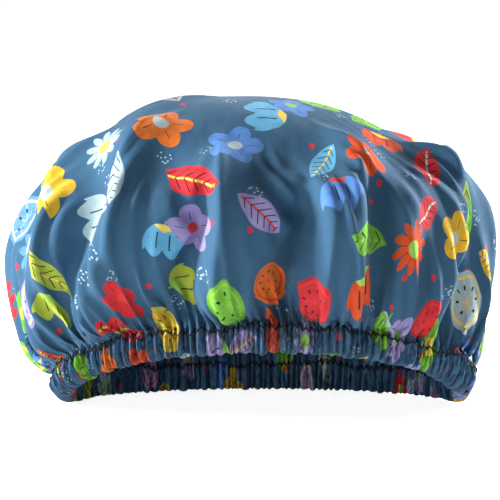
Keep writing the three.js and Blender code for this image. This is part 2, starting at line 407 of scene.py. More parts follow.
@dataclass
class ClothSettler:
    """Lets the draped cloth settle until its threads have their own length again."""

    rounds: int
    pulls: int = 3
    pull: float = 0.9
    hoop_give: float = 0.5
    run_give: float = 0.9
    hoop_bend: float = 0.008
    run_bend: float = 0.06
    hold: float = 0.15
    hold_detail: float = 9.0
    keep: float = 0.05
    keep_detail: float = 30.0
    puff: float = -0.008 * MM
    weight: float = 0.01 * MM
    glide: float = 0.85
    top_speed: float = 0.5 * MM

    def _pull(
        self, cloth: Array, first: tuple, second: tuple, rest: Array, loose: Array, give: float
    ) -> None:
        """Bring the threads between two sets of points towards their own length.

        Args:
            cloth: All the points, changed in place.
            first: Index of one end of each thread.
            second: Index of the other end.
            rest: The threads' own lengths.
            loose: 1 where a point may move.
            give: How much a thread pushes when it is short, against how it pulls when long.
        """
        apart = cloth[second] - cloth[first]
        length = np.linalg.norm(apart, axis=-1, keepdims=True)
        over = (length - rest[..., None]) / np.maximum(length, 1e-9)
        over = np.where(over < 0, over * give, over)
        one, other = loose[first], loose[second]
        move = apart * over * self.pull / np.maximum(one + other, 1.0)
        cloth[first] += one * move
        cloth[second] -= other * move

    def _strays(self, offset: Array) -> Array:
        """Give how far the cloth goes back to the draped form, more for broad waves than fine.

        Args:
            offset: How far each point is off the draped form.

        Returns:
            The part of it to take back.
        """
        waves = np.fft.rfft(offset, axis=0)
        count = np.arange(waves.shape[0])
        share = self.hold * np.exp(-((count / self.hold_detail) ** 2))
        share = share + self.keep * np.exp(-((count / self.keep_detail) ** 2))
        return np.fft.irfft(waves * share[:, None, None], n=offset.shape[0], axis=0)

    def settle(self, cloth: Array, form: Array, hoop: Array, run: Array, held: int) -> Array:
        """Settle the cloth.

        Args:
            cloth: Points by column and row to begin from.
            form: The draped form that the cloth keeps to.
            hoop: Own length of the thread from each point to the next column.
            run: Own length of the thread from each point to the next row.
            held: Rows at the crown that stay as they are; the last row stays too.

        Returns:
            The settled points.
        """
        cloth = cloth.copy()
        columns, rows, _ = cloth.shape
        loose = np.zeros((columns, rows, 1))
        loose[:, held : rows - 1] = 1
        speed = np.zeros_like(cloth)
        for _ in range(self.rounds):
            before = cloth.copy()
            cloth += speed * self.glide + loose * normals_of(cloth) * self.puff
            cloth[..., 2] -= loose[..., 0] * self.weight
            for _ in range(self.pulls):
                for start in (0, 1):
                    one = np.arange(start, columns, 2)
                    other = (one + 1) % columns
                    self._pull(cloth, (one,), (other,), hoop[one], loose, self.hoop_give)
                for start in (0, 1):
                    row = np.arange(start, rows - 1, 2)
                    here, below = (slice(None), row), (slice(None), row + 1)
                    self._pull(cloth, here, below, run[:, row], loose, self.run_give)
            curl = cloth
            for _ in range(2):
                curl = np.roll(curl, -1, 0) + np.roll(curl, 1, 0) - 2 * curl
            bow, arch = np.zeros_like(cloth), np.zeros_like(cloth)
            bow[:, 1:-1] = cloth[:, 2:] + cloth[:, :-2] - 2 * cloth[:, 1:-1]
            arch[:, 2:-2] = bow[:, 3:-1] + bow[:, 1:-3] - 2 * bow[:, 2:-2]
            cloth -= loose * (curl * self.hoop_bend + arch * self.run_bend)
            cloth -= loose * self._strays(cloth - form)
            speed = np.clip(cloth - before, -self.top_speed, self.top_speed)
        return cloth


@dataclass
class RimPleats:
    """The fine pleats that the elastic draws the cloth into, no two of them alike."""

    count: int = 150
    depth: float = 5.4 * MM
    sharpness: float = 1.1
    sway: float = 0.8 * MM
    hang: float = 2.4 * MM
    uneven: float = 0.035
    uneven_waves: tuple = ((5, 0.3), (9, 2.1), (14, 4.0), (23, 1.2))
    widths: tuple = (0.45, 1.9)
    own_heights: tuple = (0.6, 1.2)
    level_heights: tuple = (0.65, 1.3)
    least_full: float = 0.7
    more_full: float = 0.5
    full_run: float = 2.2
    levels: int = 7
    seed: int = 11
    edges: Array = field(init=False)
    heights: Array = field(init=False)
    leans: Array = field(init=False)
    drops: Array = field(init=False)

    def __post_init__(self) -> None:
        """Draw each pleat's width and drop, and its height and lean at several levels."""
        draw = np.random.default_rng(self.seed)
        widths = draw.uniform(*self.widths, self.count)
        self.edges = np.concatenate([[0], np.cumsum(widths)]) / widths.sum()
        own = draw.uniform(*self.own_heights, self.count) * np.sqrt(widths / widths.mean())
        self.heights = own[None] * draw.uniform(*self.level_heights, (self.levels, self.count))
        self.leans = draw.normal(0, 1, (self.levels, self.count + 1))
        self.leans[:, -1] = self.leans[:, 0]
        self.drops = draw.uniform(0, 1, self.count + 1) ** 2
        self.drops[-1] = self.drops[0]

    def _level(self, table: Array, share: float) -> Array:
        """Read a table of levels at some share of the way from the seam to the hem's edge."""
        level = share * (self.levels - 1)
        low = min(int(level), self.levels - 2)
        return table[low] + (table[low + 1] - table[low]) * (level - low)

    def wave(self, columns: int, share: float) -> Array:
        """Give how far each column stands out, 0 in the creases between pleats.

        Args:
            columns: How many columns there are.
            share: Share of the way from the seam to the hem's edge.

        Returns:
            A distance for each column.
        """
        place = turns(columns)
        pleat = np.searchsorted(self.edges, place, side="right") - 1
        within = (place - self.edges[pleat]) / (self.edges[pleat + 1] - self.edges[pleat])
        swell = math.sin(math.pi * min(1.0, share * self.full_run))
        fullness = self.least_full + self.more_full * swell
        height = self.depth * fullness * self._level(self.heights, share)[pleat]
        return height * np.sin(math.pi * within) ** self.sharpness

    def tall(self, columns: int) -> Array:
        """Give the band's height round the rim against its usual height."""
        turn = turns(columns) * FULL_TURN
        return 1 + self.uneven * sum(np.cos(count * turn + at) for count, at in self.uneven_waves)

    def shove(self, columns: int, share: float) -> Array:
        """Give how far each column is pushed along the rim."""
        return self.sway * np.interp(turns(columns), self.edges, self._level(self.leans, share))

    def hangs(self, columns: int) -> Array:
        """Give how far the lip hangs down at each column where it is clear of the table."""
        return self.hang * np.interp(turns(columns), self.edges, self.drops)


@dataclass
class FlatCut:
    """A flat disc of cloth in rings, with half the columns each time the rings get small."""

    columns: int
    rows: int
    dome_columns: int
    dome_rows: int
    first_columns: int = 16

    def mesh(self, name: str) -> Mesh:
        """Make the disc, with its row as radius and its column as angle.

        Args:
            name: The mesh's name.

        Returns:
            The flat mesh.
        """
        work = bmesh.new()
        count = self.first_columns
        bmesh.ops.create_circle(work, cap_ends=True, cap_tris=True, segments=count, radius=1.0)
        edge = [e for e in work.edges if e.is_boundary]
        for row in range(2, self.rows + 1):
            if count < self.columns and row > self.dome_rows * count / self.dome_columns:
                bmesh.ops.subdivide_edges(work, edges=edge, cuts=1)
                count *= 2
                edge = [e for e in work.edges if e.is_boundary]
                for vert in {v for e in edge for v in e.verts}:
                    vert.co = vert.co.normalized() * (row - 1)
            made = bmesh.ops.extrude_edge_only(work, edges=edge)["geom"]
            for vert in (v for v in made if isinstance(v, bmesh.types.BMVert)):
                vert.co = vert.co.normalized() * row
            edge = [e for e in made if isinstance(e, bmesh.types.BMEdge) and e.is_boundary]
        bmesh.ops.recalc_face_normals(work, faces=work.faces)
        return mesh_from(name, work)

    def cells(self, mesh: Mesh) -> tuple[Array, Array]:
        """Read each vertex's column and row off its place in the flat disc.

        Args:
            mesh: The flat mesh.

        Returns:
            The column and the row of each vertex.
        """
        flat = np.zeros(len(mesh.vertices) * 3)
        mesh.vertices.foreach_get("co", flat)
        x, y, _ = flat.reshape(-1, 3).T
        angle = np.arctan2(y, x) % FULL_TURN
        column = np.rint(angle / FULL_TURN * self.columns).astype(int) % self.columns
        return column, np.rint(np.hypot(x, y)).astype(int)

    def drape(self, name: str, cloth: Array, flat: Array, gathers: Array) -> Piece:
        """Make the disc and put it where the cloth lies.

        Args:
            name: The piece's name.
            cloth: The cloth's points by column and row.
            flat: The same points on the flat cut.
            gathers: How tightly each row is gathered, from 0 to 1.

        Returns:
            The piece, with the flat cut as its map.
        """
        mesh = self.mesh(name)
        column, row = self.cells(mesh)
        mesh.vertices.foreach_set("co", cloth[column, row].astype(np.float32).ravel())
        lay_map(mesh, flat[column, row] / map_size(flat) + 0.5)
        tight = mesh.attributes.new(GATHERS, "FLOAT", "POINT")
        tight.data.foreach_set("value", gathers[row].astype(np.float32))
        smooth_shading(mesh)
        mesh.update()
        return put(name, mesh)

    @staticmethod
    def declare(piece: Piece, flat: Array, rests_on: str) -> None:
        """Declare the piece as a gathered sheet.

        Args:
            piece: The piece.
            flat: The points of the flat cut.
            rests_on: What it lies on.
        """


@dataclass
class PrintedShell:
    """The printed cloth: dome, band, lip and turned hem in one cut.

    Each row of fold_lines has a fold's height and width in millimetres and then its line, those in
    front as they lie on the real cap. Each row of pucker_layers has how many puckers go round the
    cap, and their height, distance above the seam and reach in millimetres.
    """

    form: CapForm
    pleats: RimPleats
    columns: int = 1024
    dome_columns: int = 512
    dome_rows: int = 84
    wall_rows: int = 8
    lip_rows: int = 5
    hem_rows: int = 4
    hem_edge: float = 7.5 * MM
    crinkle_reach: float = 14.0 * MM
    pleat_reach: float = 4.0 * MM
    bulge: float = 1.3 * MM
    crease_lift: float = 1.1 * MM
    table_gap: float = 0.1 * MM
    calm_sides: float = 0.4
    held_rows: int = 10
    hang_rows: int = 3
    broad_rounds: int = 260
    fine_rounds: int = 130
    seam_fade: float = 0.05
    spare_shares: tuple[float, ...] = (0, 0.12, 0.36, 0.5, 0.62, 0.74, 0.85, 0.92, 1)
    spare_cloth: tuple[float, ...] = (1, 1.0, 1.0, 1.02, 1.05, 1.15, 1.42, 1.7, 2.05)
    pucker_layers: tuple = ((80, 2.0, 6, 8), (52, 2.6, 15, 12), (34, 2.2, 28, 16))
    pucker_warp: float = 2.0
    pucker_swell: float = 0.17
    pucker_limits: tuple[float, float] = (0.3, 1.8)
    phases: tuple[float, float] = (0, 6.28)
    thickness: float = 0.45 * MM
    seed: int = 5
    fold_lines: tuple = (
        (17, 12, (0.45, -165), (0.61, -147), (0.76, -146), (0.86, -153), (0.93, -158)),
        (17, 12, (0.36, -131), (0.57, -122), (0.73, -125), (0.84, -132), (0.93, -140)),
        (-11, 12, (0.60, -134), (0.75, -135), (0.85, -142), (0.94, -150)),
        (-17, 10, (0.62, -102), (0.72, -104), (0.83, -106), (0.94, -110)),
        (14, 13, (0.46, -97), (0.66, -97), (0.78, -98), (0.94, -99)),
        (-17, 10, (0.64, -77), (0.75, -80), (0.84, -83), (0.94, -84)),
        (10, 10, (0.60, -70), (0.77, -72), (0.94, -74)),
        (15, 11, (0.44, -51), (0.57, -62), (0.66, -65), (0.82, -64.5), (0.94, -65)),
        (-12, 11, (0.62, -57), (0.72, -58), (0.94, -59)),
        (10, 12, (0.66, -49), (0.80, -52), (0.94, -54)),
        (17, 11, (0.52, -13), (0.60, -19), (0.76, -32), (0.86, -40), (0.95, -45)),
        (-12, 10, (0.62, -19), (0.71, -24), (0.80, -30), (0.94, -36)),
        (10, 10, (0.66, -4), (0.76, -10), (0.88, -20), (0.95, -24)),
        (11, 12, (0.45, 26), (0.66, 22), (0.92, 18)),
        (-11, 12, (0.58, 32), (0.92, 30)),
        (12, 11, (0.50, 44), (0.70, 43), (0.92, 41)),
        (14, 12, (0.42, 60), (0.70, 57), (0.92, 58)),
        (12, 11, (0.48, 72), (0.75, 74), (0.92, 72)),
        (-14, 11, (0.55, 82), (0.92, 84)),
        (14, 12, (0.44, 95), (0.70, 93), (0.92, 96)),
        (12, 12, (0.50, 112), (0.75, 109), (0.92, 111)),
        (-11, 11, (0.60, 119), (0.92, 120)),
        (14, 12, (0.46, 131), (0.75, 130), (0.92, 134)),
        (11, 11, (0.55, 148), (0.75, 151), (0.92, 150)),
        (12, 11, (0.50, 168), (0.75, 172), (0.92, 174)),
    )

    def main_folds(self) -> list[Fold]:
        """Give the broad folds."""
        return [Fold(high * MM, wide * MM, tuple(line)) for high, wide, *line in self.fold_lines]

    def _fold_lift(self, dome: Array, folds: list[Fold]) -> Array:
        """Give how far folds lift the cloth.

        Args:
            dome: The dome by column and row.
            folds: The folds.

        Returns:
            Heights by column and row, which fade out at the seam.
        """
        azimuths = self.form.azimuths(len(dome))
        shares = np.linspace(0, 1, dome.shape[1])
        hoop = hoops(dome)
        lift = sum(fold.lift(azimuths, shares, hoop) for fold in folds)
        return lift * np.clip((1 - shares) / self.seam_fade, 0, 1)[None]

    def _wander(self, count: int, seed: int) -> Array:
        """Make a wave round the cap whose crests differ in height and spacing.

        Args:
            count: How many crests there are.
            seed: Starts the draw.

        Returns:
            The wave at each column, about -1 to 1.
        """
        draw = np.random.default_rng(seed)
        turn = turns(self.dome_columns) * FULL_TURN

        def wave(crests: int) -> Array:
            """Give one even wave, of chance height and place."""
            return draw.normal() * np.cos(crests * turn + draw.uniform(*self.phases))

        warp = sum(wave(crests) / crests for crests in range(1, 9))
        swell = sum(wave(crests) for crests in range(3, 12))
        height = np.clip(1 + self.pucker_swell * swell, *self.pucker_limits)
        return height * np.cos(count * turn + self.pucker_warp * warp + draw.uniform(*self.phases))

    def _puckers(self, cloth: Array, length: float) -> Array:
        """Add the beginnings of the small folds that the gathers send up from the seam.

        Args:
            cloth: The cloth with its broad folds.
            length: Usual length from the crown to the seam.

        Returns:
            The points to settle from.
        """
        above = np.linspace(length, 0, self.dome_rows + 1)
        lift = 0
        for number, (count, height, centre, reach) in enumerate(self.pucker_layers):
            near = np.exp(-(((above - centre * MM) / (reach * MM)) ** 2))
            lift = lift + height * MM * np.outer(self._wander(count, self.seed + number), near)
        pleat = self.pleats.wave(self.dome_columns, 0.0)
        lift += np.outer(pleat - pleat.mean(), np.exp(-above / self.pleat_reach))
        start = cloth + normals_of(cloth) * lift[..., None]
        start[:, -1] = self.rim_row(0.0)[:: self.columns // self.dome_columns]
        return start

    def dome(self) -> tuple[Array, Array]:
        """Settle the cloth over the dome, first its broad folds and then the small ones.

        Returns:
            The points by column and row, and each column's length.
        """
        cloth, lengths = None, None
        for part, rounds in ((2, self.broad_rounds), (1, self.fine_rounds)):
            columns, rows = self.dome_columns // part, self.dome_rows // part
            smooth, lengths = self.form.meridians(columns, rows)
            lift = self._fold_lift(smooth, self.main_folds())
            lift -= lift.mean(axis=0, keepdims=True)
            draped = smooth + normals_of(smooth) * lift[..., None]
            spare = np.interp(np.linspace(0, 1, rows + 1), self.spare_shares, self.spare_cloth)
            hoop = np.maximum(hoops(smooth) * spare, hoops(draped))
            run = np.linalg.norm(np.diff(smooth, axis=1), axis=2)
            start = draped
            if cloth is not None:
                draped = halfway(halfway(cloth, 0), 1)
                start = self._puckers(draped, lengths.mean())
            cloth = ClothSettler(rounds).settle(start, draped, hoop, run, self.held_rows // part)
        return cloth, lengths

    def strip_length(self) -> float:
        """Give the length of cloth below the seam: the band, the lip and the hem."""
        return 2 * self.form.wall() + math.pi * self.form.lip_radius + self.hem_edge

    def rim_row(self, drop: float) -> Array:
        """Place a row of the cloth below the seam.

        Args:
            drop: Length of cloth from the seam.

        Returns:
            A point for each column.
        """
        form, wall, radius = self.form, self.form.wall(), self.form.lip_radius
        azimuths = form.azimuths(self.columns)
        share = drop / self.strip_length()
        wave = self.pleats.wave(self.columns, share) * (1 - self.calm_sides * np.cos(azimuths) ** 4)
        turn = np.clip((drop - wall) / radius, 0, math.pi)
        climb = max(0.0, drop - wall - math.pi * radius)
        bulge = self.bulge * math.sin(math.pi * min(1.0, (climb or min(drop, wall)) / wall))
        out = (radius + wave + bulge) * math.cos(turn) - radius
        dip = self.crease_lift * np.maximum(0, 1 - wave / self.pleats.depth)
        dip -= self.pleats.hangs(self.columns) * np.minimum(1, form.lift(azimuths) / radius)
        up = radius * (1 - math.sin(turn)) + climb + dip * math.sin(turn) + self.table_gap
        if drop < wall:
            up = form.band_height - drop
        points = form.rim_points(azimuths, out, up * self.pleats.tall(self.columns))
        ahead = np.roll(points, -1, 0) - np.roll(points, 1, 0)
        ahead[:, 2] = 0
        ahead /= np.linalg.norm(ahead, axis=1, keepdims=True)
        return points + ahead * self.pleats.shove(self.columns, share)[:, None]

    def drops(self) -> Array:
        """Give the rows from the seam to the hem's edge as lengths of cloth from the seam."""
        wall, lip = self.form.wall(), math.pi * self.form.lip_radius
        ends = np.cumsum([0, wall, lip, wall + self.hem_edge])
        rows = np.cumsum([0, self.wall_rows, self.lip_rows, self.hem_rows])
        return np.interp(np.arange(rows[-1] + 1), rows, ends)

    def grids(self) -> tuple[Array, Array]:
        """Work out the whole cloth.

        Returns:
            The points by column and row, and the same points on the flat cut.
        """
        dome, lengths = (halfway(made, 0) for made in self.dome())
        creases = self._fold_lift(dome, [fold.crease() for fold in self.main_folds()])
        dome += normals_of(dome) * creases[..., None]
        below = np.stack([self.rim_row(drop) for drop in self.drops()], 1)
        cloth = np.concatenate([dome[:, :-1], below], 1)
        shares = np.linspace(0, 1, self.dome_rows + 1)[:-1]
        reach = np.concatenate([np.outer(lengths, shares), lengths[:, None] + self.drops()], 1)
        return cloth, laid_flat(reach)

    def hang(self, cloth: Array) -> Array:
        """Give how far inside the smooth form the cloth's deepest fold reaches.

        Args:
            cloth: The cloth's points by column and row.

        Returns:
            A depth for each row of the dome.
        """
        smooth, _ = self.form.meridians(self.columns, self.dome_rows)
        out = ((cloth[:, : self.dome_rows + 1] - smooth) * normals_of(smooth)).sum(axis=2)
        deepest = np.maximum(0.0, -out.min(axis=0))
        near = self.hang_rows
        return np.array([deepest[max(0, i - near) : i + near + 1].max() for i in range(len(deepest))])

    def build(self, cloth: Array, flat: Array) -> Piece:
        """Cut the cloth, drape it and give it thickness.

        Args:
            cloth: The cloth's points by column and row.
            flat: The same points on the flat cut.

        Returns:
            The shell's object.
        """
        cut = FlatCut(self.columns, cloth.shape[1] - 1, self.dome_columns, self.dome_rows)
        reach = np.linalg.norm(flat, axis=2).mean(axis=0)
        gathers = np.clip(1 + (reach - reach[self.dome_rows]) / self.crinkle_reach, 0, 1)
        piece = cut.drape("printed_shell", cloth, flat, gathers)
        join_part(piece, "printed_shell", self.thickness)
        cut.declare(piece, flat, "rim_elastic")
        return piece


@dataclass
class WaterproofLining:
    """The plain film inside the dome, its edge caught in the seam."""

    form: CapForm
    columns: int = 256
    dome_rows: int = 84
    tuck: float = 2.0 * MM
    inset: float = 1.4 * MM
    ease: float = 1.6 * MM
    gathers: int = 61
    gather_depth: float = 9.0 * MM
    gather_warp: tuple[float, int] = (1.5, 7)
    gather_swell: tuple[float, int] = (0.3, 11)
    gather_rise: float = 1.2
    gather_start: float = 0.4
    gather_full: float = 0.85
    close_start: float = 0.86
    thickness: float = 0.15 * MM

    def grid(self, hang: Array) -> Array:
        """Work out the film.

        Args:
            hang: How far inside the form each row's deepest fold of cloth reaches.

        Returns:
            Its points by column and row.
        """
        smooth, _ = self.form.meridians(self.columns, self.dome_rows)
        shares = np.linspace(0, 1, self.dome_rows + 1)
        turn = turns(self.columns) * FULL_TURN
        warp, warps = self.gather_warp
        swell, swells = self.gather_swell
        gather = np.cos(self.gathers * turn + warp * np.sin(warps * turn))
        gather *= 1 - swell + swell * np.sin(swells * turn)
        near = (shares - self.gather_start) / (self.gather_full - self.gather_start)
        near = np.clip(near, 0, 1) ** self.gather_rise
        depth = hang + self.ease + self.gather_depth / 2 * np.outer(1 + gather, near)
        film = smooth - normals_of(smooth) * depth[..., None]
        azimuths, seam = self.form.azimuths(self.columns), self.form.band_height
        edge = self.form.rim_points(azimuths, -self.inset, seam)[:, None]
        below = self.form.rim_points(azimuths, -self.inset, seam - self.tuck)[:, None]
        close = eased((shares - self.close_start) / (1 - self.close_start))[:, None]
        return np.concatenate([film * (1 - close) + edge * close, below], 1)

    def build(self, hang: Array) -> Piece:
        """Cut the film, hang it and give it thickness.

        Args:
            hang: How far inside the form each row's deepest fold of cloth reaches.

        Returns:
            The lining's object.
        """
        film = self.grid(hang)
        flat = laid_flat(walked(film))
        cut = FlatCut(self.columns, film.shape[1] - 1, self.columns, self.dome_rows)
        piece = cut.drape("waterproof_lining", film, flat, np.zeros(film.shape[1]))
        join_part(piece, "waterproof_lining", self.thickness)
        cut.declare(piece, flat, "printed_shell")
        return piece


@dataclass
class RimElastic:
    """The elastic in the rim's casing, with lapped ends at the middle of the back."""

    form: CapForm
    width: float = 12.0 * MM
    thickness: float = 0.8 * MM
    depth: float = 1.1 * MM
    lap: float = 18.0 * MM
    lap_gap: float = 0.05 * MM
    ease: float = 12.0 * MM
    ripple: float = 0.12 * MM
    ripple_run: float = 1.45 / MM
    steps: int = 360
    strands: int = 6

    def build(self) -> Piece:
        """Bend a flat strip round the rim.

        Returns:
            The elastic's object.
        """
        fine, length = self.form.lip()
        around = length[-1]
        start = np.interp(math.pi / 2, fine, length) - self.lap / 2
        work = bmesh.new()
        bmesh.ops.create_grid(work, x_segments=self.steps, y_segments=self.strands, size=0.5)
        strip = np.array([vert.co for vert in work.verts]) + 0.5
        along, across = strip[:, 0] * (around + self.lap), strip[:, 1] * self.width
        azimuth = np.interp((start + along) % around, length, fine)
        over = eased((along - around + self.ease) / self.ease)
        ripple = self.ripple * np.sin(along * self.ripple_run)
        out = ripple - self.depth - over * (self.thickness + self.lap_gap)
        placed = self.form.rim_points(azimuth, out, self.form.lip_radius + across)
        for vert, place in zip(work.verts, placed):
            vert.co = place
        bmesh.ops.recalc_face_normals(work, faces=work.faces)
        mesh = mesh_from("rim_elastic", work)
        if mesh.polygons[0].normal.dot(Vector(self.form.outward(azimuth[:1])[0])) < 0:
            mesh.flip_normals()
        smooth_shading(mesh)
        lay_map(mesh, np.stack([along, across], -1) / (around + self.lap))
        piece = put("rim_elastic", mesh)
        join_part(piece, "rim_elastic", self.thickness)
        return piece


class SeamFace(Enum):
    """The side of the rim that a run of stitches shows on."""

    OUTSIDE = "outside"
    INSIDE = "inside"


@dataclass
class SeamThread:
    """A zigzag run of thread that follows the cloth over its pleats."""

    shell: PrintedShell
    face: SeamFace
    radius: float = 0.48 * MM
    stitches: int = 176
    middle: float = 2.2 * MM
    swing: float = 1.6 * MM
    heights: tuple[float, float] = (0.55, 1.15)
    uneven: float = 0.18
    lean: float = 0.16
    sunk: float = 0.35
    bridge: float = 0.9
    column_step: float = 0.6
    row_step: float = 0.4
    steps: int = 8
    seed: int = 3

    def path(self, cloth: Array) -> Array:
        """Lay the thread on the cloth.

        Args:
            cloth: The cloth's points by column and row.

        Returns:
            The thread's points, which close on themselves.
        """
        draw = np.random.default_rng(self.seed)
        stroke = np.arange(self.stitches * self.steps) / self.steps
        corner = np.arange(2 * self.stitches + 1)
        high = np.where(corner % 2 == 0, 1.0, -1.0) * draw.uniform(*self.heights, len(corner))
        high += draw.normal(0, self.uneven, len(corner))
        high[-1] = high[0]
        ahead = draw.normal(0, self.lean, len(corner))
        ahead[-1] = ahead[0]
        drop = self.middle - self.swing * np.interp(2 * stroke, corner, high)
        wander = np.interp(2 * stroke, corner, ahead)
        column = (stroke + wander) / self.stitches * self.shell.columns % self.shell.columns
        if self.face is SeamFace.INSIDE:
            drop = self.shell.strip_length() - self.shell.hem_edge - drop
        strip = cloth[:, self.shell.dome_rows :]
        drops = self.shell.drops()
        row = np.interp(drop, drops, np.arange(len(drops)))
        step = self.column_step
        aside = self._at(strip, column + step, row) - self._at(strip, column - step, row)
        step = self.row_step
        down = self._at(strip, column, row + step) - self._at(strip, column, row - step)
        out = np.cross(down, aside)
        out /= np.linalg.norm(out, axis=1, keepdims=True)
        rise = self.sunk + self.bridge * np.sin(math.pi * ((2 * stroke) % 1))
        return self._at(strip, column, row) + out * (self.radius * rise)[:, None]

    @staticmethod
    def _at(strip: Array, column: Array, row: Array) -> Array:
        """Read a grid of points between its columns and rows.

        Args:
            strip: Points by column, which close on themselves, and row.
            column: Columns to read at.
            row: Rows to read at.

        Returns:
            The points there.
        """
        columns, rows, _ = strip.shape
        row = np.clip(row, 0, rows - 1.001)
        left, top = np.floor(column).astype(int), np.floor(row).astype(int)
        across, along = (column - left)[:, None], (row - top)[:, None]
        left, right = left % columns, (left + 1) % columns
        upper = strip[left, top] * (1 - across) + strip[right, top] * across
        lower = strip[left, top + 1] * (1 - across) + strip[right, top + 1] * across
        return upper * (1 - along) + lower * along

    def build(self, cloth: Array) -> Piece:
        """Make the thread as a thin tube.

        Args:
            cloth: The cloth's points by column and row.

        Returns:
            The thread's object.
        """
        name = f"seam_thread_{self.face.value}"
        points = self.path(cloth)
        curve = bpy.data.curves.new(name, "CURVE")
        curve.dimensions = "3D"
        curve.bevel_depth = self.radius
        curve.bevel_resolution = 1
        line = curve.splines.new("POLY")
        line.points.add(len(points) - 1)
        line.points.foreach_set("co", np.c_[points, np.ones(len(points))].astype(np.float32).ravel())
        line.use_cyclic_u = True
        guide = put(name + "_line", curve)
        mesh = bpy.data.meshes.new_from_object(guide)
        bpy.data.objects.remove(guide)
        bpy.data.curves.remove(curve)
        mesh.name = name
        smooth_shading(mesh)
        piece = put(name, mesh)
        join_part(piece, "zigzag_thread" if self.face is SeamFace.OUTSIDE else "")
        return piece


def adds(operation: str, what: str) -> Callable[..., "Value"]:
    """Make a method of Value that adds one node.

    Args:
        operation: Blender's name for the sum.
        what: What it does.

    Returns:
        The method.
    """

    def method(self: "Value", *others: "Value | float") -> "Value":
        return self.graph.math(operation, self, *others)

    method.__doc__ = what
    return method


@dataclass(frozen=True)
class Value:
    """A number in a material's nodes, with arithmetic that adds nodes."""

    graph: "Graph"
    socket: Socket

    __add__ = adds("ADD", "Add.")
    __sub__ = adds("SUBTRACT", "Subtract.")
    __mul__ = adds("MULTIPLY", "Multiply.")
    __truediv__ = adds("DIVIDE", "Divide.")
    __abs__ = adds("ABSOLUTE", "Take the size without the sign.")
    sin = adds("SINE", "Take the sine.")
    cos = adds("COSINE", "Take the cosine.")
    angle = adds("ARCTAN2", "Take the angle of a height over a width.")
    root = adds("SQRT", "Take the square root.")
    fract = adds("FRACT", "Keep what follows the point.")
    larger = adds("MAXIMUM", "Take the larger of two.")

    def below(self, limit: "Value | float", soft: float = 0.03) -> "Value":
        """Give 1 where the number is under a limit and 0 over it.

        Args:
            limit: The limit.
            soft: How wide the step is.

        Returns:
            The mask.
        """
        under = self.graph.math("SUBTRACT", limit, self)
        return self.graph.math("MULTIPLY_ADD", under, 1 / soft, 0.5, clamp=True)

    def between(self, low: float, high: float, soft: float = 0.03) -> "Value":
        """Give 1 between two limits and 0 outside them."""
        return abs(self - (low + high) / 2).below((high - low) / 2, soft)


Feed = Value | Socket | float | tuple


